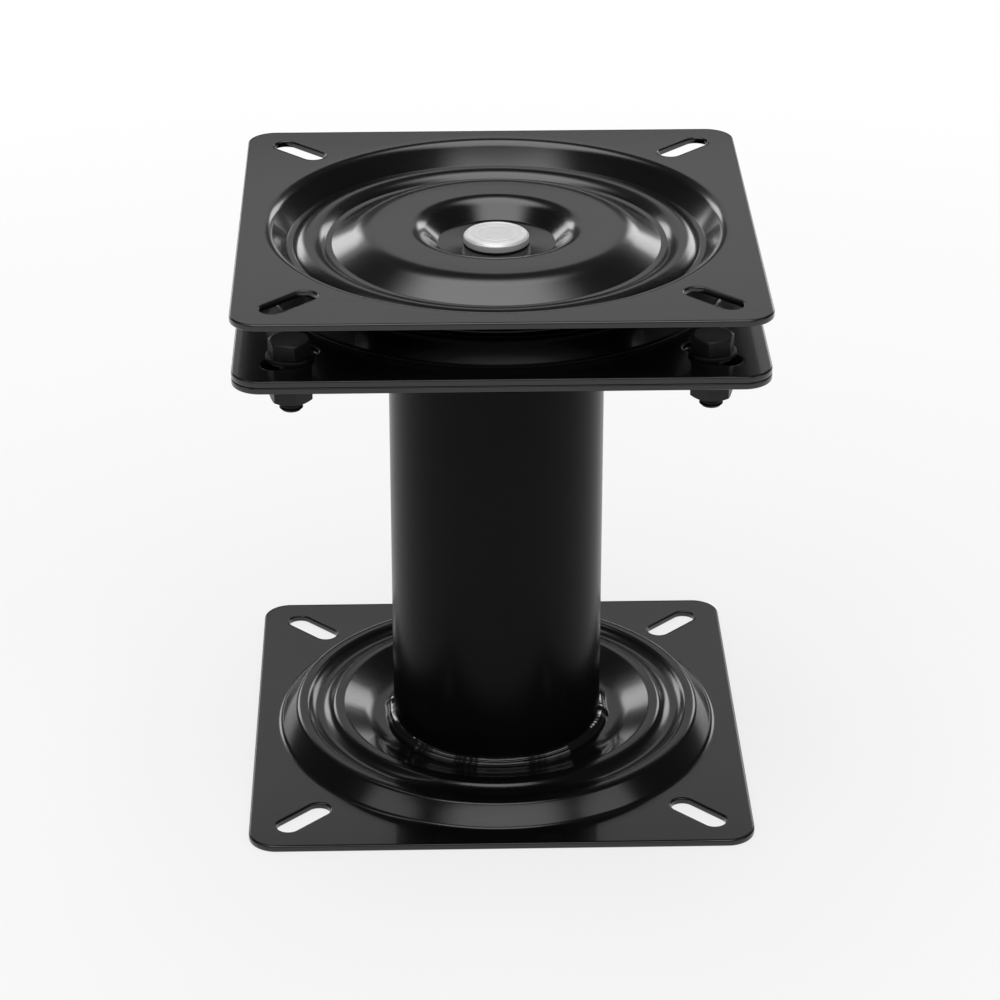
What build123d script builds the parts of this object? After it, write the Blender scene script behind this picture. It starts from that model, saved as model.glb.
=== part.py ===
# Swivel pedestal for a seat: a tube welded between two pressed square plates, and a ball-bearing
# swivel, made of two more of the same pressings, bolted on the upper one.
# Millimetres, +Z up, origin on the tube's axis at floor level.

import os
from math import atan2, tan

from build123d import *

# Column
pedestal_height = 177.8
tube_diameter = 76.2
tube_wall = 2.5
weld_leg = 3.6
weld_crown = 0.7

# Pressed plates, from the centre outwards, with depths below the border's outer face
sheet = 2.3
hole_radius = 7.1
disc_depth = 8.0
recess_run = 7.0
recess_bend = 6.7
land_inside_tube = 8.1
plateau_depth = 2.0
weld_land = 0.1
dome_bend = 15.7
dome_run = 11.0
inner_groove_width = 2.2
groove_rise = 0.5
outer_groove_width = 2.0
rim_run = 6.05
rim_bend = 2.8
border_width = 10.2
plate_corner_radius = 10.0
edge_rounding = 0.5

# Slots, one in each corner of a plate, pointing at the centre
slot_length = 23.0
slot_clearance = 0.4
slot_inset = 19.05

# Swivel bearing, with the bead of each plate as its race
disc_gap = 1.7
ball_diameter = 6.35
ball_count = 16
ball_clearance = 0.3
race_slack = 0.45
pocket_clearance = 0.2
cage_clearance = 0.6
cage_edge = 1.05
turning_clearance = 0.3

# Pivot rivet and the washer between the plates
pivot_clearance = 0.05
rivet_head_overhang = 4.3
rivet_head_height = 3.0
rivet_head_chamfer = 0.8
rivet_tail_overhang = 2.9
rivet_tail_height = 3.0
rivet_tail_rounding = 1.5
centre_washer_width = 7.5

# Fixing set between the column and the swivel
bolt_diameter = 8.0
bolt_protrusion = 3.7
bolt_point = 0.8
hexagon_land = 2.5
hexagon_bevel = 1.2
head_height = 5.3
nut_height = 6.5
thread_clearance = 0.05
washer_width = 3.8
washer_thickness = 1.6
washer_clearance = 0.2
lock_washer_width = 2.4
lock_washer_thickness = 2.0
lock_washer_split = 1.0

# Radii of the pressing
tube_radius = tube_diameter / 2
groove_depth = disc_depth - groove_rise
dome_slope = atan2(groove_depth - plateau_depth, dome_run)
recess_rim = tube_radius - tube_wall - land_inside_tube
disc_radius = recess_rim - recess_run
dome_rim = tube_radius + weld_leg + weld_land + (dome_bend + sheet) * tan(dome_slope / 2)
dome_foot = dome_rim + dome_run
bead_width = ball_diameter + 2 * sheet + race_slack
bead_root = dome_foot + inner_groove_width
race_radius = bead_root + bead_width / 2
bead_foot = bead_root + bead_width
groove_edge = bead_foot + outer_groove_width
rim_radius = groove_edge + rim_run
plate_half = rim_radius + border_width
dish_radius = rim_radius + border_width / 2
slot_width = bolt_diameter + slot_clearance
slot_radius = (plate_half - slot_inset) * 2**0.5

# Heights of the column and the swivel
tube_foot = plateau_depth + sheet
tube_head = pedestal_height - tube_foot
swivel_height = 2 * (disc_depth + sheet) + disc_gap
seat_height = pedestal_height + swivel_height
ball_level = pedestal_height + swivel_height / 2
crest_depth = swivel_height / 2 - ball_diameter / 2 - ball_clearance - sheet
lower_disc_under = pedestal_height + disc_depth
lower_disc_top = lower_disc_under + sheet
upper_disc_top = seat_height - disc_depth

# Rivet, washers and fixing set
rivet_radius = hole_radius - pivot_clearance
rivet_head_seat = upper_disc_top + turning_clearance
centre_washer_thickness = disc_gap - turning_clearance
cage_thickness = disc_gap + 2 * groove_rise - 2 * cage_clearance
bolt_radius = bolt_diameter / 2
hexagon_half = bolt_radius + hexagon_land
head_seat = pedestal_height + sheet + washer_thickness
nut_washer_base = pedestal_height - sheet - washer_thickness
lock_washer_base = nut_washer_base - lock_washer_thickness
nut_base = lock_washer_base - nut_height
bolt_end = nut_base - bolt_protrusion


def pressed_plate(face_level, facing):
    # Square plate whose border has its outer face at face_level, facing up (1) or down (-1)
    def level(depth):
        return face_level - facing * depth

    with BuildPart() as plate:
        with BuildSketch(Plane.XZ):
            with BuildLine():
                Line((hole_radius, level(disc_depth)), (disc_radius, level(disc_depth)))
                FilletPolyline(
                    (disc_radius, level(disc_depth)),
                    (recess_rim, level(plateau_depth)),
                    (dome_rim, level(plateau_depth)),
                    (dome_foot, level(groove_depth)),
                    radius=[recess_bend + sheet, dome_bend + sheet],
                )
                Line((dome_foot, level(groove_depth)), (bead_root, level(groove_depth)))
                ThreePointArc(
                    (bead_root, level(groove_depth)),
                    (race_radius, level(crest_depth)),
                    (bead_foot, level(groove_depth)),
                )
                Line((bead_foot, level(groove_depth)), (groove_edge, level(groove_depth)))
                FilletPolyline(
                    (groove_edge, level(groove_depth)),
                    (rim_radius, level(0)),
                    (dish_radius, level(0)),
                    radius=rim_bend + sheet,
                )
                offset(amount=sheet, side=Side.RIGHT if facing > 0 else Side.LEFT)
            make_face()
        revolve(axis=Axis.Z)

        with BuildSketch(Plane.XY.offset(face_level)):
            RectangleRounded(2 * plate_half, 2 * plate_half, plate_corner_radius)
            Circle(dish_radius, mode=Mode.SUBTRACT)
            with PolarLocations(slot_radius, 4, start_angle=45):
                SlotOverall(slot_length, slot_width, mode=Mode.SUBTRACT)
        extrude(amount=-facing * sheet)

        outer_face = plate.faces().filter_by(Axis.Z).sort_by(Axis.Z)[-1 if facing > 0 else 0]
        fillet(outer_face.outer_wire().edges(), min(edge_rounding, sheet / 3))
    return plate.part


def weld_bead(toe_level, facing):
    # Fillet weld round the tube, with its toe on a plate's plateau, facing up (1) or down (-1)
    foot = (tube_radius, toe_level)
    toe = (tube_radius + weld_leg, toe_level)
    top = (tube_radius, toe_level + facing * weld_leg)
    swell = weld_leg / 2 + weld_crown / 2**0.5
    crown = (tube_radius + swell, toe_level + facing * swell)
    with BuildPart() as bead:
        with BuildSketch(Plane.XZ):
            with BuildLine():
                Polyline(top, foot, toe)
                ThreePointArc(toe, crown, top)
            make_face()
        revolve(axis=Axis.Z)
    return bead.part


def hexagon(base, height, both_ends):
    # Hexagon with its corners bevelled at the top end, or at both ends
    top = base + height
    corner = hexagon_half * 2 / 3**0.5
    drop = hexagon_bevel / 3**0.5
    lower_corner = [(corner - hexagon_bevel, base), (corner, base + drop)] if both_ends else [(corner, base)]
    with BuildPart() as blank:
        with BuildSketch(Plane.XY.offset(base)):
            RegularPolygon(hexagon_half, side_count=6, major_radius=False)
        extrude(amount=height)
        with BuildSketch(Plane.XZ):
            with BuildLine():
                Polyline(
                    (0, base),
                    *lower_corner,
                    (corner, top - drop),
                    (corner - hexagon_bevel, top),
                    (0, top),
                    close=True,
                )
            make_face()
        revolve(axis=Axis.Z, mode=Mode.INTERSECT)
    return blank.part


def ring(base, height, inner_radius, width):
    with BuildPart() as washer:
        with BuildSketch(Plane.XY.offset(base)):
            Circle(inner_radius + width)
            Circle(inner_radius, mode=Mode.SUBTRACT)
        extrude(amount=height)
    return washer.part


os.makedirs("parts", exist_ok=True)

# Base plate, dished upwards on the floor
with BuildPart() as base_plate:
    add(pressed_plate(0, -1))
base_plate.part.label = "base_plate"
export_step(base_plate.part, "parts/base_plate.step")

# Column tube, standing on the plateau of the base plate
with BuildPart() as column_tube:
    add(ring(tube_foot, tube_head - tube_foot, tube_radius - tube_wall, tube_wall))
column_tube.part.label = "column_tube"
export_step(column_tube.part, "parts/column_tube.step")

# Column top plate, the same pressing with its dish down
with BuildPart() as column_top_plate:
    add(pressed_plate(pedestal_height, 1))
column_top_plate.part.label = "column_top_plate"
export_step(column_top_plate.part, "parts/column_top_plate.step")

# Weld beads round both ends of the tube
with BuildPart() as base_weld:
    add(weld_bead(tube_foot, 1))
base_weld.part.label = "base_weld"
export_step(base_weld.part, "parts/base_weld.step")

with BuildPart() as top_weld:
    add(weld_bead(tube_head, -1))
top_weld.part.label = "top_weld"
export_step(top_weld.part, "parts/top_weld.step")

# Swivel plates, back to back, the lower one border to border with the column top plate
with BuildPart() as swivel_lower_plate:
    add(pressed_plate(pedestal_height, -1))
swivel_lower_plate.part.label = "swivel_lower_plate"
export_step(swivel_lower_plate.part, "parts/swivel_lower_plate.step")

with BuildPart() as swivel_upper_plate:
    add(pressed_plate(seat_height, 1))
swivel_upper_plate.part.label = "swivel_upper_plate"
export_step(swivel_upper_plate.part, "parts/swivel_upper_plate.step")

# Pivot rivet, closed tight under the lower disc, with the upper plate free to turn under its head
with BuildPart() as pivot_rivet:
    with BuildSketch(Plane.XY.offset(lower_disc_under - rivet_tail_height)):
        Circle(hole_radius + rivet_tail_overhang)
    extrude(amount=rivet_tail_height)
    fillet(pivot_rivet.edges().sort_by(Axis.Z)[0], min(rivet_tail_rounding, rivet_tail_height / 2))
    with BuildSketch(Plane.XY.offset(lower_disc_under)):
        Circle(rivet_radius)
    extrude(amount=rivet_head_seat - lower_disc_under)
    with BuildSketch(Plane.XY.offset(rivet_head_seat)):
        Circle(hole_radius + rivet_head_overhang)
    extrude(amount=rivet_head_height)
    chamfer(pivot_rivet.edges().sort_by(Axis.Z)[-1], rivet_head_chamfer)
pivot_rivet.part.label = "pivot_rivet"
export_step(pivot_rivet.part, "parts/pivot_rivet.step")

# Washer on the rivet, between the two discs
with BuildPart() as centre_washer:
    add(ring(lower_disc_top, centre_washer_thickness, hole_radius, centre_washer_width))
centre_washer.part.label = "centre_washer"
export_step(centre_washer.part, "parts/centre_washer.step")

# Ball cage, a flat ring with a pocket for each ball
with BuildPart() as ball_cage:
    with BuildSketch(Plane.XY.offset(ball_level - cage_thickness / 2)):
        Circle(bead_foot - cage_edge)
        Circle(bead_root + cage_edge, mode=Mode.SUBTRACT)
        with PolarLocations(race_radius, ball_count):
            Circle(ball_diameter / 2 + pocket_clearance, mode=Mode.SUBTRACT)
    extrude(amount=cage_thickness)
ball_cage.part.label = "ball_cage"
export_step(ball_cage.part, "parts/ball_cage.step")

# Bearing balls
with BuildPart(Plane.XY.offset(ball_level)) as bearing_balls:
    with PolarLocations(race_radius, ball_count):
        Sphere(ball_diameter / 2)
bearing_balls.part.label = "bearing_balls"
export_step(bearing_balls.part, "parts/bearing_balls.step")

# Hexagon bolts, head up between the swivel plates, one in each corner
with BuildPart() as fixing_bolt:
    with BuildSketch(Plane.XY.offset(bolt_end)):
        Circle(bolt_radius)
    extrude(amount=head_seat - bolt_end)
    chamfer(fixing_bolt.edges().sort_by(Axis.Z)[0], bolt_point)
    add(hexagon(head_seat, head_height, both_ends=False))
with BuildPart() as fixing_bolts:
    with PolarLocations(slot_radius, 4, start_angle=45):
        add(fixing_bolt.part)
fixing_bolts.part.label = "fixing_bolts"
export_step(fixing_bolts.part, "parts/fixing_bolts.step")

# Flat washers, under the bolt heads and under the column top plate
with BuildPart() as head_washers:
    with PolarLocations(slot_radius, 4, start_angle=45):
        add(ring(pedestal_height + sheet, washer_thickness, bolt_radius + washer_clearance, washer_width))
head_washers.part.label = "head_washers"
export_step(head_washers.part, "parts/head_washers.step")

with BuildPart() as nut_washers:
    with PolarLocations(slot_radius, 4, start_angle=45):
        add(ring(nut_washer_base, washer_thickness, bolt_radius + washer_clearance, washer_width))
nut_washers.part.label = "nut_washers"
export_step(nut_washers.part, "parts/nut_washers.step")

# Split spring washers, squeezed flat between the flat washers and the nuts
with BuildPart() as lock_washer:
    inner_radius = bolt_radius + washer_clearance
    add(ring(lock_washer_base, lock_washer_thickness, inner_radius, lock_washer_width))
    with BuildSketch(Plane.XY.offset(lock_washer_base)):
        with Locations((inner_radius + lock_washer_width / 2, 0)):
            Rectangle(2 * lock_washer_width, lock_washer_split)
    extrude(amount=lock_washer_thickness, mode=Mode.SUBTRACT)
with BuildPart() as lock_washers:
    with PolarLocations(slot_radius, 4, start_angle=45):
        add(lock_washer.part)
lock_washers.part.label = "lock_washers"
export_step(lock_washers.part, "parts/lock_washers.step")

# Hexagon nuts
with BuildPart() as fixing_nut:
    add(hexagon(nut_base, nut_height, both_ends=True))
    with BuildSketch(Plane.XY.offset(nut_base)):
        Circle(bolt_radius + thread_clearance)
    extrude(amount=nut_height, mode=Mode.SUBTRACT)
with BuildPart() as fixing_nuts:
    with PolarLocations(slot_radius, 4, start_angle=45):
        add(fixing_nut.part)
fixing_nuts.part.label = "fixing_nuts"
export_step(fixing_nuts.part, "parts/fixing_nuts.step")
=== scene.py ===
# %% [markdown]
# # A swivel pedestal for a seat
# A steel tube stands between two pressed square plates, and two more of the same pressings, riveted
# back to back with a ring of balls between them, make the swivel on top. The construction model
# already gives every piece its size and place, so this lesson only builds the finish: smooth
# pressings without facets, rippled welds, threaded bolts, gloss black paint, and a studio round it.
# Everything is in metres, with the tube on the Z axis and the floor at zero.

# %% Load the construction model
import math

import bpy
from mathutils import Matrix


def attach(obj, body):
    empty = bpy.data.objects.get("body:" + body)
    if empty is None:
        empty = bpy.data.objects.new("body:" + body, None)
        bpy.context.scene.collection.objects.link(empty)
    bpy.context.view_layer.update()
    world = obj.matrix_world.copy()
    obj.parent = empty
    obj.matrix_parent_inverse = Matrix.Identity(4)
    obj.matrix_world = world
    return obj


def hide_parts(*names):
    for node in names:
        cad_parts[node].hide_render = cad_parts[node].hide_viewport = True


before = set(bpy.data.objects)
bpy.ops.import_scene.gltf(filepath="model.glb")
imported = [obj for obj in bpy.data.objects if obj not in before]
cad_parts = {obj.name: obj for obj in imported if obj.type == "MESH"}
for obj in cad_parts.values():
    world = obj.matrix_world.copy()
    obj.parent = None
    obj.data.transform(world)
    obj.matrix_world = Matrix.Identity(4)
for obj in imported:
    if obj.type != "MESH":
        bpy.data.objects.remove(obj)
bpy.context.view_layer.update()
mm = 0.001

# %% [markdown]
# ## Small helpers for modelling
# An operator works on whatever is selected, so every step first says which piece it means. Round
# pieces are drawn as half a section, point by point as with a pen, and spun once round the axis. A
# lathe or a press makes the real pieces in the same way, which is why a spun section suits them
# better than a stack of cylinders: bends, beads and creases are all in one line.

# %% Choosing a piece and spinning a section
same_point = 0.001 * mm
small_bend = 1 * mm
small_bend_pieces = 3


def only(piece):
    """Leave one piece selected and active, in object mode."""
    if bpy.context.mode != "OBJECT":
        bpy.ops.object.mode_set(mode="OBJECT")
    bpy.ops.object.select_all(action="DESELECT")
    piece.select_set(True)
    bpy.context.view_layer.objects.active = piece


def pick(piece, wanted):
    """Open a piece in edit mode with the points selected that pass a test of their place."""
    only(piece)
    bpy.ops.object.mode_set(mode="EDIT")
    bpy.ops.mesh.select_mode(type="VERT")
    bpy.ops.mesh.select_all(action="DESELECT")
    bpy.ops.object.mode_set(mode="OBJECT")
    for point in piece.data.vertices:
        point.select = wanted(point.co)
    bpy.ops.object.mode_set(mode="EDIT")


def named(name):
    """Name the piece that an operator has just made."""
    piece = bpy.context.object
    piece.name = name
    piece.data.name = name
    return piece


def spun(name, section, steps):
    """Draw a section of (radius, height) points and spin it once round the Z axis."""
    bpy.ops.object.select_all(action="DESELECT")
    bpy.ops.mesh.primitive_plane_add(size=mm)
    piece = named(name)
    bpy.ops.object.mode_set(mode="EDIT")
    bpy.ops.mesh.select_mode(type="VERT")
    bpy.ops.mesh.merge(type="CENTER")
    bpy.ops.transform.translate(value=(section[0][0], 0, section[0][1]))
    for here, there in zip(section, section[1:]):
        move = (there[0] - here[0], 0, there[1] - here[1])
        bpy.ops.mesh.extrude_region_move(TRANSFORM_OT_translate={"value": move})
    bpy.ops.mesh.select_all(action="SELECT")
    bpy.ops.mesh.spin(steps=steps, angle=math.tau, center=(0, 0, 0), axis=(0, 0, 1))
    bpy.ops.mesh.select_all(action="SELECT")
    bpy.ops.mesh.remove_doubles(threshold=same_point)
    bpy.ops.mesh.normals_make_consistent(inside=False)
    bpy.ops.object.mode_set(mode="OBJECT")
    return piece


def apply_modifier(piece, kind, **settings):
    """Give a piece one modifier and apply it at once."""
    only(piece)
    modifier = piece.modifiers.new(kind.title(), kind)
    for setting, value in settings.items():
        setattr(modifier, setting, value)
    bpy.ops.object.modifier_apply(modifier=modifier.name)


def smooth(piece, degrees):
    """Shade smoothly over every edge flatter than an angle."""
    only(piece)
    bpy.ops.object.shade_smooth_by_angle(angle=math.radians(degrees))


def moved_copy(piece, name, place=(0, 0, 0)):
    """Copy a piece with a mesh of its own, moved within that mesh."""
    only(piece)
    bpy.ops.object.duplicate(linked=False)
    copy = named(name)
    bpy.ops.object.mode_set(mode="EDIT")
    bpy.ops.mesh.select_all(action="SELECT")
    bpy.ops.transform.translate(value=place)
    bpy.ops.object.mode_set(mode="OBJECT")
    return copy


def joined(pieces, name):
    """Join several pieces into one."""
    bpy.ops.object.select_all(action="DESELECT")
    for piece in pieces:
        piece.select_set(True)
    bpy.context.view_layer.objects.active = pieces[0]
    bpy.ops.object.join()
    return named(name)


def rounded(corners, step=math.radians(4)):
    """Turn (radius, height, bend) corners into a line of points with an arc at each bend."""
    line = [corners[0][:2]]
    for before, corner, after in zip(corners, corners[1:], corners[2:]):
        back = math.atan2(before[1] - corner[1], before[0] - corner[0])
        ahead = math.atan2(after[1] - corner[1], after[0] - corner[0])
        turn = math.pi - abs((ahead - back + math.pi) % math.tau - math.pi)
        bend = corner[2]
        if bend == 0:
            line.append(corner[:2])
            continue
        run = bend * math.tan(turn / 2)
        first = (corner[0] + run * math.cos(back), corner[1] + run * math.sin(back))
        last = (corner[0] + run * math.cos(ahead), corner[1] + run * math.sin(ahead))
        pieces = max(2, math.ceil(turn / step)) if bend > small_bend else small_bend_pieces
        reach = bend / math.cos(turn / 2)
        middle = ((first[0] + last[0]) / 2 - corner[0], (first[1] + last[1]) / 2 - corner[1])
        length = math.hypot(*middle)
        centre = (corner[0] + middle[0] / length * reach, corner[1] + middle[1] / length * reach)
        start = math.atan2(first[1] - centre[1], first[0] - centre[0])
        end = math.atan2(last[1] - centre[1], last[0] - centre[0])
        sweep = (end - start + math.pi) % math.tau - math.pi
        for i in range(pieces + 1):
            angle = start + sweep * i / pieces
            line.append((centre[0] + bend * math.cos(angle), centre[1] + bend * math.sin(angle)))
    line.append(corners[-1][:2])
    return line


# %% [markdown]
# ## The pressed plate
# All four plates come from one tool. From the centre outwards the sheet goes from a flat disc up a
# short wall to a flat land, down a long dome to a narrow groove, over a round bead that is the race
# for the balls, along a second groove and up to the square border. The sheet is stiffened only by
# these rings, and in gloss black they are nearly all that one sees, so their bends are true arcs. The
# creases on the outer face look sharp, but paint fills them a little, and that small rounding draws
# the thin bright rings.

# %% Section of the pressing
sheet = 2.3 * mm
plate_steps = 192

hole_radius = 7.1 * mm
disc_radius = 20.5 * mm
disc_depth = 8 * mm
wall_bend = 9 * mm
land_start = 27.5 * mm
land_end = 46.05 * mm
land_depth = 2 * mm
dome_bend = 18 * mm
dome_foot = 57.05 * mm
groove_depth = 7.5 * mm
bead_start = 59.25 * mm
bead_end = 70.65 * mm
bead_rise = 2.125 * mm
rim_foot = 72.65 * mm
rim_top = 78.7 * mm
rim_bend = 5.1 * mm
dish_radius = 83.8 * mm
crease = 0.35 * mm

bead_pieces = 16
bead_half = (bead_end - bead_start) / 2
bead_bend = (bead_half**2 + bead_rise**2) / (2 * bead_rise)
bead_open = math.asin(bead_half / bead_bend)
bead = []
for i in range(1, bead_pieces):
    angle = bead_open * (2 * i / bead_pieces - 1)
    radius = bead_start + bead_half + bead_bend * math.sin(angle)
    height = -groove_depth + bead_rise - bead_bend * (1 - math.cos(angle))
    bead.append((radius, height, 0))

pressing = rounded(
    [
        (hole_radius, -disc_depth, 0),
        (disc_radius, -disc_depth, crease),
        (land_start, -land_depth, wall_bend),
        (land_end, -land_depth, dome_bend),
        (dome_foot, -groove_depth, crease),
        (bead_start, -groove_depth, crease),
        *bead,
        (bead_end, -groove_depth, crease),
        (rim_foot, -groove_depth, crease),
        (rim_top, 0, rim_bend),
        (dish_radius, 0, 0),
    ]
)
print("pressing:", len(pressing), "points from the hole to the border")

# %% [markdown]
# ## From a round dish to a square border with slots
# The dish ends in a circle, and the plate in a square with rounded corners and four slots. A square
# and four long slots are drawn flat, each with a narrow strip round its edge, and the flat space
# between strips and dish is then filled in one go. The strips give the later edge rounding clean
# faces to work on. Thickness comes last, so that both faces follow the same section.

# %% One plate, facing up
plate_half = 88.9 * mm
corner_radius = 10 * mm
corner_pieces = 14
slot_width = 8.4 * mm
slot_length = 23 * mm
slot_radius = 98.783 * mm
slot_points = 40
edge_strip = 1.2 * mm
edge_slack = 0.01 * mm
edge_rounding = 0.5 * mm
edge_pieces = 3
edge_angle = math.radians(60)


def spot(co):
    """Where a point lies on the flat, in millimetres to two places."""
    return tuple(round(c / mm, 2) for c in co[:2])


def remember_edge(piece, wanted):
    """Put the points that pass a test in a group that survives joining."""
    pick(piece, wanted)
    bpy.ops.object.vertex_group_assign_new()
    bpy.ops.object.mode_set(mode="OBJECT")
    piece.vertex_groups[-1].name = "open edge"


def strip_inside(piece, width):
    """Keep only a strip along the edge of a flat piece."""
    only(piece)
    bpy.ops.object.mode_set(mode="EDIT")
    bpy.ops.mesh.select_all(action="SELECT")
    bpy.ops.mesh.inset(thickness=width)
    bpy.ops.mesh.delete(type="FACE")
    bpy.ops.object.mode_set(mode="OBJECT")


dish = spun("dish", pressing, plate_steps)
remember_edge(dish, lambda co: math.hypot(co.x, co.y) > dish_radius - edge_slack)

bpy.ops.object.select_all(action="DESELECT")
bpy.ops.mesh.primitive_plane_add(size=2 * plate_half)
border = named("border")
bpy.ops.object.mode_set(mode="EDIT")
bpy.ops.mesh.select_all(action="SELECT")
bpy.ops.mesh.bevel(offset=corner_radius, segments=corner_pieces, affect="VERTICES")
bpy.ops.object.mode_set(mode="OBJECT")
outline = {spot(point.co) for point in border.data.vertices}
strip_inside(border, edge_strip)
remember_edge(border, lambda co: spot(co) not in outline)

slot_pieces = []
for corner in range(4):
    bpy.ops.object.select_all(action="DESELECT")
    end_radius = slot_width / 2 + edge_strip
    bpy.ops.mesh.primitive_circle_add(vertices=slot_points, radius=end_radius, fill_type="NGON")
    slot = named("slot")
    bpy.ops.object.mode_set(mode="EDIT")
    bpy.ops.mesh.select_all(action="SELECT")
    half_step = math.tau / (2 * slot_points)
    bpy.ops.transform.rotate(value=half_step, orient_axis="Z", center_override=(0, 0, 0))
    half = (slot_length - slot_width) / 2
    for side in (-1, 1):
        pick(slot, lambda co: co.x * side > 0)
        bpy.ops.transform.translate(value=(side * half, 0, 0))
    bpy.ops.mesh.select_all(action="SELECT")
    bpy.ops.transform.translate(value=(slot_radius, 0, 0))
    turn = math.radians(45 + 90 * corner)
    bpy.ops.transform.rotate(value=turn, orient_axis="Z", center_override=(0, 0, 0))
    bpy.ops.object.mode_set(mode="OBJECT")
    outline = {spot(point.co) for point in slot.data.vertices}
    strip_inside(slot, edge_strip)
    remember_edge(slot, lambda co: spot(co) in outline)
    slot_pieces.append(slot)

plate = joined([dish, border, *slot_pieces], "plate")
bpy.ops.object.mode_set(mode="EDIT")
bpy.ops.mesh.select_all(action="DESELECT")
bpy.ops.object.vertex_group_select()
bpy.ops.mesh.select_mode(type="EDGE")
bpy.ops.mesh.fill(use_beauty=True)
bpy.ops.mesh.select_all(action="SELECT")
bpy.ops.mesh.normals_make_consistent(inside=False)
bpy.ops.object.mode_set(mode="OBJECT")
plate.vertex_groups.clear()
rim_face = max(plate.data.polygons, key=lambda face: face.center.xy.length)
if rim_face.normal.z < 0:
    only(plate)
    bpy.ops.object.mode_set(mode="EDIT")
    bpy.ops.mesh.select_all(action="SELECT")
    bpy.ops.mesh.flip_normals()
    bpy.ops.object.mode_set(mode="OBJECT")
apply_modifier(plate, "SOLIDIFY", thickness=sheet, offset=-1, use_even_offset=True)
apply_modifier(
    plate,
    "BEVEL",
    width=edge_rounding,
    segments=edge_pieces,
    limit_method="ANGLE",
    angle_limit=edge_angle,
)
smooth(plate, 35)
print("plate:", len(plate.data.polygons), "faces, size", [round(d / mm, 2) for d in plate.dimensions])

# %% [markdown]
# ## Four plates from one
# The base plate and the lower swivel plate are the same pressing turned over. Turning a copy keeps its
# faces pointing outwards, where mirroring would turn it inside out. Each copy rides on the body of the
# construction model that it belongs to, and only the uppermost one turns with the seat.


# %% Place the plates
def placed_plate(name, node, body, level, facing):
    """Copy the plate to a level, facing up (1) or down (-1), in place of a construction node."""
    piece = moved_copy(plate, name)
    bpy.ops.object.mode_set(mode="EDIT")
    bpy.ops.mesh.select_all(action="SELECT")
    if facing < 0:
        bpy.ops.transform.rotate(value=math.pi, orient_axis="X", center_override=(0, 0, 0))
    bpy.ops.transform.translate(value=(0, 0, level))
    bpy.ops.object.mode_set(mode="OBJECT")
    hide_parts(node)
    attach(piece, body)
    return piece


pedestal_height = 177.8 * mm
seat_height = 200.1 * mm
plates = [
    placed_plate("painted_base_plate", "base_plate", "pedestal", 0, -1),
    placed_plate("painted_column_plate", "column_top_plate", "pedestal", pedestal_height, 1),
    placed_plate("painted_lower_swivel_plate", "swivel_lower_plate", "pedestal", pedestal_height, -1),
    placed_plate("painted_upper_swivel_plate", "swivel_upper_plate", "turntable", seat_height, 1),
]
bpy.data.objects.remove(plate)
print("plates:", [piece.name for piece in plates])

# %% [markdown]
# ## The column
# The tube is plain drawn steel, three inches across. It is a closed section spun round, with many
# steps, because a gloss black tube shows every facet as a stripe.

# %% Tube
tube_radius = 38.1 * mm
tube_bore = 35.6 * mm
tube_foot = 4.3 * mm
tube_head = pedestal_height - tube_foot
tube_steps = 160
tube = spun(
    "painted_tube",
    [
        (tube_bore, tube_foot),
        (tube_radius, tube_foot),
        (tube_radius, tube_head),
        (tube_bore, tube_head),
        (tube_bore, tube_foot),
    ],
    tube_steps,
)
smooth(tube, 35)
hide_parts("column_tube")
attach(tube, "pedestal")
print("tube:", len(tube.data.polygons), "faces")

# %% [markdown]
# ## The weld beads
# Each end of the tube is welded all round, and the thick paint drowns most of the ripples. What is
# left is a smooth bead, a little fat here and thin there, with a faint valley along its middle, some
# small lumps and a larger one where the run ends over its own start. A bead of even section is spun
# first, and its points are then moved away from the corner: by slow waves of the angle round the tube
# for the uneven hand, by faint quick ones for the ripples, and by a short hump at each lump.

# %% Beads with ripples
weld_leg = 3.6 * mm
weld_crown = 0.55 * mm
weld_lobe = 0.3 * mm
weld_points = 24
weld_steps = 480
weld_size = 0.9

# Ripples: how many round the tube, how far the middle of each runs ahead, and their height
ripples = 110
ripple_bow = 2.4
ripple_height = 0.006

# Slow waves: how many round the tube, where they start, and the share of each
weld_waves = [(5, 1.3, 1.0), (13, 0.4, 0.8), (29, 2.1, 0.6)]
wave_height = 0.02

# Lumps: angle from the end of the run, reach, and height
lumps = [
    (0.0, 0.09, 0.3),
    (0.32, 0.05, 0.14),
    (1.02, 0.06, 0.1),
    (1.9, 0.05, 0.08),
    (2.75, 0.07, 0.12),
    (3.6, 0.05, 0.1),
    (4.3, 0.06, 0.05),
    (5.15, 0.05, 0.06),
    (5.5, 0.07, 0.1),
    (5.95, 0.05, 0.12),
]


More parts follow.
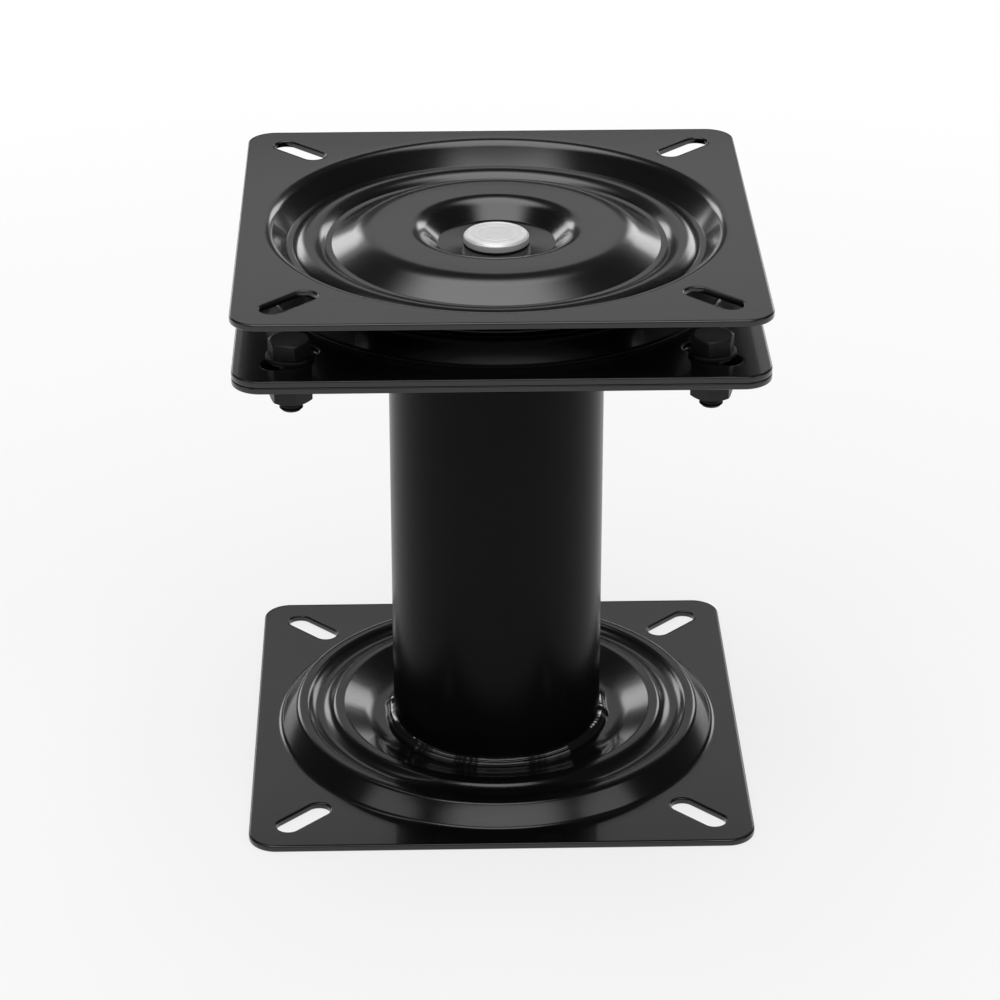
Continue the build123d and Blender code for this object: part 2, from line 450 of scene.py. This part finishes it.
def weld_bead(name, node, toe, facing, run_end):
    """Spin a fillet weld on the plate at height toe and give it its waves and its lumps."""
    section = [(tube_radius, toe)]
    for i in range(weld_points + 1):
        way = i / weld_points
        crown = weld_crown * math.sin(math.pi * way)
        lobes = weld_lobe * abs(math.sin(2 * math.pi * way))
        swell = (crown + lobes) / math.sqrt(2)
        out = weld_leg * (1 - way) + swell
        rise = weld_leg * way + swell
        section.append((tube_radius + out, toe + facing * rise))
    section.append((tube_radius, toe))
    piece = spun(name, section, weld_steps)
    for point in piece.data.vertices:
        angle = math.atan2(point.co.y, point.co.x)
        radius = math.hypot(point.co.x, point.co.y)
        out = radius - tube_radius
        rise = facing * (point.co.z - toe)
        across = out / (out + rise) if out + rise > 0 else 0
        fade = 0.5 + 0.5 * math.sin(3 * angle + 0.6) * math.sin(7 * angle + 2.0)
        ripple = fade * math.sin(ripples * angle + ripple_bow * (2 * across - 1) ** 2)
        uneven = sum(share * math.sin(count * angle + start) for count, start, share in weld_waves)
        size = weld_size + ripple_height * ripple + wave_height * uneven
        for place, reach, height in lumps:
            away = (angle - run_end - place + math.pi) % math.tau - math.pi
            size += height * math.exp(-((away / reach) ** 2))
        stretch = (tube_radius + out * size) / radius
        point.co = (point.co.x * stretch, point.co.y * stretch, toe + facing * rise * size)
    smooth(piece, 50)
    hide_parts(node)
    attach(piece, "pedestal")
    return piece


welds = [
    weld_bead("base_bead", "base_weld", tube_foot, 1, 0.25),
    weld_bead("top_bead", "top_weld", tube_head, -1, 2.2),
]
print("welds:", [len(piece.data.polygons) for piece in welds])

# %% [markdown]
# ## The pivot rivet
# The bright head in the middle of the upper disc is the rivet that holds the swivel together. Its top
# is flat with two faint turned rings and a broken edge, and the other end is formed over under the
# lower disc. All of it is one turned section.

# %% Rivet
head_top = 195.4 * mm
head_seat = 192.4 * mm
head_radius = 11.4 * mm
head_bevel = 0.8 * mm
ring_depth = 0.12 * mm
rivet_radius = 7.05 * mm
tail_seat = 185.8 * mm
tail_end = 182.8 * mm
tail_radius = 10 * mm
rivet_steps = 128
rivet_section = rounded(
    [
        (0, head_top, 0),
        (6.4 * mm, head_top, 0.3 * mm),
        (6.8 * mm, head_top - ring_depth, 0.3 * mm),
        (7.2 * mm, head_top, 0.3 * mm),
        (9.2 * mm, head_top, 0.3 * mm),
        (9.5 * mm, head_top - ring_depth, 0.2 * mm),
        (9.8 * mm, head_top, 0.2 * mm),
        (head_radius - head_bevel, head_top, 0.4 * mm),
        (head_radius, head_top - head_bevel, 0.4 * mm),
        (head_radius, head_seat, 0.2 * mm),
        (rivet_radius, head_seat, 0.1 * mm),
        (rivet_radius, tail_seat, 0.1 * mm),
        (tail_radius, tail_seat, 0.2 * mm),
        (tail_radius, tail_end, 1.5 * mm),
        (0, tail_end, 0),
    ],
    step=math.radians(12),
)
rivet = spun("bright_rivet", rivet_section, rivet_steps)
smooth(rivet, 40)
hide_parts("pivot_rivet")
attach(rivet, "pedestal")
print("rivet:", len(rivet.data.polygons), "faces")

# %% [markdown]
# ## The fixing set
# Four hexagon bolts hold the swivel on the column, with a flat washer under each head and a flat
# washer, a split spring washer and a nut below. One of each is modelled at the middle and four copies
# are set in the corners. A hexagon's bevel is where a cone cuts the six sides, so a hexagonal blank and
# a turned blank are intersected, as the real one is turned from hexagonal bar. At this size the thread
# is drawn as a row of turned crests.


# %% Helpers for the fixings
def in_corners(piece, name, node):
    """Set four copies of a fixing in the corners, and join them in place of a construction node."""
    copies = []
    for corner in range(4):
        copy = moved_copy(piece, name, (slot_radius, 0, 0))
        bpy.ops.object.mode_set(mode="EDIT")
        bpy.ops.mesh.select_all(action="SELECT")
        turn = math.radians(45 + 90 * corner)
        bpy.ops.transform.rotate(value=turn, orient_axis="Z", center_override=(0, 0, 0))
        bpy.ops.object.mode_set(mode="OBJECT")
        copies.append(copy)
    bpy.data.objects.remove(piece)
    whole = joined(copies, name)
    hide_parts(node)
    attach(whole, "pedestal")
    return whole


across_flats = 13 * mm
hexagon_bevel = 1.2 * mm
hexagon_slack = 0.1 * mm
hexagon_steps = 72


def hexagon(name, base, height, both_ends):
    """Intersect a hexagonal and a turned blank, bevelled at the top or at both ends."""
    corner = across_flats / math.sqrt(3)
    outside = corner + hexagon_slack
    drop = hexagon_bevel / math.sqrt(3)
    top = base + height
    lower = [(outside, base)]
    if both_ends:
        lower = [(corner - hexagon_bevel, base), (outside, base + drop)]
    upper = [(outside, top - drop), (corner - hexagon_bevel, top)]
    turned = spun("turned", [(0, base), *lower, *upper, (0, top)], hexagon_steps)
    bpy.ops.object.select_all(action="DESELECT")
    bpy.ops.mesh.primitive_cylinder_add(
        vertices=6,
        radius=corner,
        depth=2 * height,
        location=(0, 0, base + height / 2),
        rotation=(0, 0, math.pi / 6),
    )
    blank = named(name)
    bpy.ops.object.transform_apply(location=True, rotation=True, scale=True)
    apply_modifier(blank, "BOOLEAN", operation="INTERSECT", object=turned, solver="EXACT")
    bpy.data.objects.remove(turned)
    return blank


washer_steps = 64


def washer(name, base, height, inner, outer, edge):
    """Spin a washer with rounded edges."""
    middle = (inner + outer) / 2
    section = rounded(
        [
            (middle, base, 0),
            (outer, base, edge),
            (outer, base + height, edge),
            (inner, base + height, edge),
            (inner, base, edge),
            (middle, base, 0),
        ]
    )
    piece = spun(name, section, washer_steps)
    smooth(piece, 40)
    return piece


# %% Bolt
bolt_head_seat = 181.7 * mm
bolt_head_height = 5.3 * mm
bolt_end = 161.7 * mm
bolt_radius = 4 * mm
bolt_steps = 48
nut_base = 165.4 * mm
nut_height = 6.5 * mm
plain_start = nut_base + 10 * mm

pitch = 1.25 * mm
thread_start = bolt_end + 0.35 * mm
thread_turns = 9
thread_crest = 3.97 * mm
thread_root = 3.35 * mm
thread_chamfer = 0.15 * mm
thread = [
    (thread_root, 0),
    (thread_crest, 0.45 * mm),
    (thread_crest, 0.6 * mm),
    (thread_root, 1.05 * mm),
]

shank = [(0, bolt_end), (thread_root - thread_chamfer, bolt_end)]
for turn in range(thread_turns):
    level = thread_start + turn * pitch
    for radius, rise in thread:
        shank.append((radius, level + rise))
shank += [(bolt_radius, plain_start), (bolt_radius, bolt_head_seat), (0, bolt_head_seat)]
bolt_shank = spun("shank", shank, bolt_steps)
bolt_head = hexagon("head", bolt_head_seat, bolt_head_height, False)
bolt = joined([bolt_shank, bolt_head], "bolt")
smooth(bolt, 28)

# %% Nut
nut_bore = 4.05 * mm
nut_mouth = 5.3 * mm
mouth_depth = 0.35 * mm
cut_past = 1 * mm
nut_top = nut_base + nut_height
nut = hexagon("nut", nut_base, nut_height, True)
bore = spun(
    "bore",
    [
        (0, nut_base - cut_past),
        (nut_mouth, nut_base - cut_past),
        (nut_bore, nut_base + mouth_depth),
        (nut_bore, nut_top - mouth_depth),
        (nut_mouth, nut_top + cut_past),
        (0, nut_top + cut_past),
    ],
    bolt_steps,
)
apply_modifier(nut, "BOOLEAN", operation="DIFFERENCE", object=bore, solver="EXACT")
bpy.data.objects.remove(bore)
smooth(nut, 28)

# %% Washers
washer_bore = 4.2 * mm
washer_radius = 8 * mm
washer_height = 1.6 * mm
washer_edge = 0.25 * mm
head_washer_base = 180.1 * mm
nut_washer_base = 173.9 * mm
plain_washer = (washer_height, washer_bore, washer_radius, washer_edge)
head_washer = washer("head_washer", head_washer_base, *plain_washer)
nut_washer = washer("nut_washer", nut_washer_base, *plain_washer)

spring_base = 171.9 * mm
spring_height = 2 * mm
spring_radius = 6.6 * mm
spring_edge = 0.2 * mm
split_width = 1 * mm
spring_washer = washer(
    "spring_washer", spring_base, spring_height, washer_bore, spring_radius, spring_edge
)
split_place = ((washer_bore + spring_radius) / 2, 0, spring_base + spring_height / 2)
bpy.ops.object.select_all(action="DESELECT")
bpy.ops.mesh.primitive_cube_add(size=1, location=split_place)
saw = named("saw")
saw.scale = (2 * (spring_radius - washer_bore), split_width, 3 * spring_height)
bpy.ops.object.transform_apply(location=True, rotation=True, scale=True)
apply_modifier(spring_washer, "BOOLEAN", operation="DIFFERENCE", object=saw, solver="EXACT")
bpy.data.objects.remove(saw)
smooth(spring_washer, 40)

# %% Four of each fixing
fixings = [
    in_corners(bolt, "black_bolts", "fixing_bolts"),
    in_corners(head_washer, "black_head_washers", "head_washers"),
    in_corners(nut_washer, "black_nut_washers", "nut_washers"),
    in_corners(spring_washer, "black_spring_washers", "lock_washers"),
    in_corners(nut, "black_nuts", "fixing_nuts"),
]
print("fixings:", {piece.name: len(piece.data.polygons) for piece in fixings})

# %% [markdown]
# ## Finishes as expressions
# A finish is a network of nodes, but most of it is arithmetic: a base value plus a little of one
# pattern and a little of another. A small class stands for a number that changes over the surface, so
# that a line of Python such as 0.2 + 0.05 * cloud adds the Math nodes. One method makes every other
# node. All patterns read Object coordinates, so they stay put on a piece and keep their real size.


# %% Node helpers
class Value:
    """A number or colour that changes over a surface."""

    def __init__(self, nodes, socket):
        self.nodes = nodes
        self.socket = socket

    def math(self, operation, first, second=0.0):
        return self.nodes.node("ShaderNodeMath", 0, {"operation": operation}, {0: first, 1: second})

    def __add__(self, other):
        return self.math("ADD", self, other)

    def __sub__(self, other):
        return self.math("SUBTRACT", self, other)

    def __mul__(self, other):
        return self.math("MULTIPLY", self, other)

    __radd__ = __add__
    __rmul__ = __mul__


class Nodes:
    """The node tree of a material, of a lamp or of the world."""

    def __init__(self, owner):
        owner.use_nodes = True
        self.tree = owner.node_tree
        self.tree.nodes.clear()

    def node(self, kind, output, settings, inputs):
        """Add a node, set it up, feed its sockets and give back one of its outputs."""
        made = self.tree.nodes.new(kind)
        for setting, value in settings.items():
            setattr(made, setting, value)
        for socket, value in inputs.items():
            if isinstance(value, Value):
                self.tree.links.new(value.socket, made.inputs[socket])
            else:
                made.inputs[socket].default_value = value
        return Value(self, made.outputs[output]) if made.outputs else None

    def noise(self, place, scale, detail=2.0):
        inputs = {"Vector": place, "Scale": scale, "Detail": detail}
        return self.node("ShaderNodeTexNoise", 0, {}, inputs)

    def stretched(self, place, scale):
        return self.node("ShaderNodeMapping", 0, {}, {"Vector": place, "Scale": scale})

    def mixed(self, share, first, second):
        settings = {"data_type": "RGBA"}
        return self.node("ShaderNodeMix", 2, settings, {0: share, 6: first, 7: second})

    def bump(self, height, depth):
        inputs = {"Strength": 1.0, "Distance": depth, "Height": height}
        return self.node("ShaderNodeBump", 0, {}, inputs)


def finish(name, describe):
    """Make a material whose surface is described by a function of the place on the piece."""
    material = bpy.data.materials.new(name)
    nodes = Nodes(material)
    place = nodes.node("ShaderNodeTexCoord", "Object", {}, {})
    surface = nodes.node("ShaderNodeBsdfPrincipled", 0, {}, describe(nodes, place))
    nodes.node("ShaderNodeOutputMaterial", 0, {}, {"Surface": surface})
    return material


def wear(pieces, material):
    """Put one finish on several pieces."""
    for piece in pieces:
        piece.data.materials.clear()
        piece.data.materials.append(material)


black = (0.0, 0.0, 0.0, 1.0)
white = (1.0, 1.0, 1.0, 1.0)


def grey(level):
    """A grey that is a trace cooler than neutral."""
    return (level, level, level * 1.02, 1.0)


# %% [markdown]
# ## Gloss black paint
# The steel is coated black all over: deep, glossy and not quite even. Close up the coat has the fine
# dimples that are called orange peel, and the sheet's rolling grain, which runs one way across a
# plate, shows faintly as longer streaks in the gloss. The colour stays almost black, because what
# makes the shape readable is the reflection and not the paint. The tube has no such grain, and the
# welds are blobby enough on their own and only get a wetter gloss.


# %% Paint on plates, tube and welds
def plate_paint(nodes, place):
    cloud = nodes.noise(place, 35.0)
    grain = nodes.noise(nodes.stretched(place, (14.0, 900.0, 900.0)), 1.0, 3.0)
    waves = nodes.noise(nodes.stretched(place, (9.0, 260.0, 260.0)), 1.0, 1.0)
    peel = nodes.noise(place, 620.0, 1.0)
    height = peel + 0.6 * grain + 2.2 * waves
    return {
        "Base Color": nodes.mixed(cloud, grey(0.0025), grey(0.005)),
        "Roughness": 0.15 + 0.05 * cloud + 0.07 * grain,
        "Specular IOR Level": 0.4,
        "Coat Weight": 0.4,
        "Coat Roughness": 0.045,
        "Normal": nodes.bump(height, 0.008 * mm),
    }


def tube_paint(nodes, place):
    cloud = nodes.noise(place, 40.0)
    peel = nodes.noise(place, 560.0, 1.0)
    return {
        "Base Color": nodes.mixed(cloud, grey(0.003), grey(0.006)),
        "Roughness": 0.2 + 0.08 * cloud,
        "Specular IOR Level": 0.08,
        "Normal": nodes.bump(peel, 0.008 * mm),
    }


def weld_paint(nodes, place):
    cloud = nodes.noise(place, 160.0)
    pitting = nodes.noise(place, 900.0, 3.0)
    return {
        "Base Color": nodes.mixed(cloud, grey(0.002), grey(0.005)),
        "Roughness": 0.07 + 0.08 * cloud,
        "Specular IOR Level": 0.9,
        "Normal": nodes.bump(pitting, 0.015 * mm),
    }


wear(plates, finish("plate_paint", plate_paint))
wear([tube], finish("tube_paint", tube_paint))
wear(welds, finish("weld_paint", weld_paint))

# %% [markdown]
# ## Bright and dark metal
# The rivet is zinc plated and turned, so fine rings run round its axis. The bolts, washers and nuts
# are blackened steel, duller than the paint. The balls are polished, and the ring that spaces them is
# black nylon, as is the washer between the two discs. Those three keep their construction shapes,
# because little of them shows between the plates.


# %% Rivet, fixings and bearing
def turned_zinc(nodes, place):
    flat = nodes.stretched(place, (1.0, 1.0, 0.0))
    radius = nodes.node("ShaderNodeVectorMath", "Value", {"operation": "LENGTH"}, {0: flat})
    rings = radius.math("SINE", 9000.0 * radius)
    cloud = nodes.noise(place, 300.0, 3.0)
    return {
        "Base Color": nodes.mixed(cloud, (0.8, 0.81, 0.81, 1.0), (0.9, 0.9, 0.89, 1.0)),
        "Metallic": 0.45,
        "Roughness": 0.38 + 0.1 * cloud + 0.03 * rings,
        "Normal": nodes.bump(rings, 0.004 * mm),
    }


def black_steel(nodes, place):
    cloud = nodes.noise(place, 220.0, 3.0)
    speckle = nodes.noise(place, 1800.0)
    return {
        "Base Color": nodes.mixed(cloud, grey(0.008), grey(0.02)),
        "Metallic": 0.6,
        "Roughness": 0.36 + 0.16 * speckle,
        "Normal": nodes.bump(speckle, 0.01 * mm),
    }


def polished_steel(nodes, place):
    smear = nodes.noise(place, 400.0, 4.0)
    return {
        "Base Color": nodes.mixed(smear, (0.55, 0.56, 0.57, 1.0), (0.66, 0.66, 0.66, 1.0)),
        "Metallic": 1.0,
        "Roughness": 0.08 + 0.14 * smear,
    }


def nylon(nodes, place):
    cloud = nodes.noise(place, 150.0, 3.0)
    grain = nodes.noise(place, 1500.0)
    return {
        "Base Color": nodes.mixed(cloud, grey(0.012), grey(0.022)),
        "Roughness": 0.45 + 0.15 * grain,
        "Normal": nodes.bump(grain, 0.01 * mm),
    }


wear([rivet], finish("turned_zinc", turned_zinc))
wear(fixings, finish("black_steel", black_steel))
wear([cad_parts["bearing_balls"]], finish("polished_steel", polished_steel))
wear([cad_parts["ball_cage"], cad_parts["centre_washer"]], finish("nylon", nylon))
print("finishes:", sorted(material.name for material in bpy.data.materials if material.users))

# %% [markdown]
# ## The studio
# A gloss black object is a mirror: it shows the room and hardly any of its own colour. The room is a
# white floor with a white skyline and a dim sky, so that every slope which mirrors the sky stays black,
# and soft boxes stand in that sky where the object should shine. The floor glows for the camera and in
# reflections, so that it looks white, and its own share of real light keeps the shadow.

# %% Floor and surround
bpy.ops.object.select_all(action="DESELECT")
bpy.ops.mesh.primitive_plane_add(size=12)
floor = named("floor")


def seen(nodes):
    """1 for what the camera, a reflection or a see-through surface looks at, and 0 for plain light."""
    camera_ray = nodes.node("ShaderNodeLightPath", "Is Camera Ray", {}, {})
    glossy_ray = nodes.node("ShaderNodeLightPath", "Is Glossy Ray", {}, {})
    through_ray = nodes.node("ShaderNodeLightPath", "Is Transmission Ray", {}, {})
    return camera_ray.math("MINIMUM", camera_ray + glossy_ray + through_ray, 1.0)


floor_material = bpy.data.materials.new("floor")
nodes = Nodes(floor_material)
place = nodes.node("ShaderNodeTexCoord", "Object", {}, {})
distance = nodes.node("ShaderNodeVectorMath", "Value", {"operation": "LENGTH"}, {0: place})
far = nodes.node("ShaderNodeMapRange", 0, {}, {"Value": distance, "From Min": 0.2, "From Max": 0.7})
glow = nodes.node("ShaderNodeEmission", 0, {}, {"Color": white, "Strength": 1.0})
matt = nodes.node("ShaderNodeBsdfDiffuse", 0, {}, {"Color": grey(0.9)})
share = seen(nodes) * (0.75 + 0.25 * far)
surface = nodes.node("ShaderNodeMixShader", 0, {}, {0: share, 1: matt, 2: glow})
nodes.node("ShaderNodeOutputMaterial", 0, {}, {"Surface": surface})
wear([floor], floor_material)

world = bpy.data.worlds.new("studio")
bpy.context.scene.world = world
nodes = Nodes(world)
direction = nodes.node("ShaderNodeTexCoord", "Generated", {}, {})
rise = nodes.node("ShaderNodeSeparateXYZ", "Z", {}, {"Vector": direction})
surround = nodes.node(
    "ShaderNodeMapRange",
    0,
    {"interpolation_type": "SMOOTHSTEP"},
    {"Value": rise, "From Min": 0.03, "From Max": 0.14, "To Min": 1.0, "To Max": 0.05},
)
soft = nodes.node("ShaderNodeBackground", 0, {}, {"Color": grey(0.15), "Strength": 1.0})
room = nodes.node("ShaderNodeBackground", 0, {}, {"Color": white, "Strength": surround})
surface = nodes.node("ShaderNodeMixShader", 0, {}, {0: seen(nodes), 1: soft, 2: room})
nodes.node("ShaderNodeOutputWorld", 0, {}, {"Surface": surface})

# %% [markdown]
# ## Lamps and camera
# The box overhead does most of the work: it lights the floor and fills the slopes that lean towards the
# camera. The wide dim box behind is what the flat borders mirror, so they come out dark grey. Two
# smaller boxes beside it draw the bright glints on the left and right of the rings. A wide box above the
# camera and one on each side of it draw the soft band on the steep rim and the line along the weld. Every
# box fades towards its edges, because a hard edge in the gloss would look like a crease in the steel.
# The camera has a long lens from a little over a metre away, looking down at about 26 degrees.

# %% Soft boxes
# Where a box starts to fade, as a share of the way from its middle to its edge
fade_start = 0.45


def soft_box(name, place, target, width, height, brightness):
    """A rectangular lamp that fades from a given brightness to its edges, turned towards a point."""
    lamp = bpy.data.lights.new(name, "AREA")
    nodes = Nodes(lamp)
    on_box = nodes.node("ShaderNodeNewGeometry", "Parametric", {}, {})
    fades = []
    for axis in ("X", "Y"):
        way = nodes.node("ShaderNodeSeparateXYZ", axis, {}, {"Vector": on_box})
        off = way.math("ABSOLUTE", 2.0 * way - 1.0)
        inputs = {"Value": off, "From Min": fade_start, "From Max": 1.0, "To Min": 1.0, "To Max": 0.0}
        fades.append(nodes.node("ShaderNodeMapRange", 0, {"interpolation_type": "SMOOTHSTEP"}, inputs))
    colour = nodes.mixed(fades[0] * fades[1], black, white)
    surface = nodes.node("ShaderNodeEmission", 0, {}, {"Color": colour, "Strength": 1.0})
    nodes.node("ShaderNodeOutputLight", 0, {}, {"Surface": surface})
    lamp.shape = "RECTANGLE"
    lamp.size = width
    lamp.size_y = height
    lamp.energy = brightness * math.pi * width * height
    box = bpy.data.objects.new(name, lamp)
    bpy.context.collection.objects.link(box)
    box.location = place
    aim = [there - here for here, there in zip(place, target)]
    across = math.hypot(aim[0], aim[1])
    box.rotation_euler = (math.atan2(across, -aim[2]), 0, math.atan2(aim[1], aim[0]) - math.pi / 2)
    box.visible_camera = False


middle = (0, 0, 0.12)
soft_box("overhead", (-0.07, 0.075, 1.25), (-0.07, 0.074, 0), 1.1, 1.5, 3.4)
soft_box("behind", (-0.15, 1.4, 0.84), middle, 1.6, 0.44, 0.58)
soft_box("behind_left", (-0.6, 1.3, 0.65), middle, 0.6, 0.46, 3.6)
soft_box("behind_right", (0.6, 1.3, 0.67), middle, 0.6, 0.43, 3.8)
soft_box("front", (0.06, -1.05, 1.15), middle, 1.9, 0.55, 1.9)
soft_box("front_left", (-1.15, -0.6, 0.95), middle, 0.9, 0.7, 1.2)
soft_box("front_right", (1.15, -0.6, 0.95), middle, 0.9, 0.7, 1.4)

# %% Camera
lens = bpy.data.cameras.new("camera")
lens.sensor_width = 36
lens.lens = 122.7
camera = bpy.data.objects.new("camera", lens)
bpy.context.collection.objects.link(camera)
camera.location = (-0.0265, -1.0978, 0.6413)
camera.rotation_euler = (math.radians(63.42), 0, math.radians(-1.45))
bpy.context.scene.camera = camera
bpy.context.scene.view_settings.view_transform = "Standard"
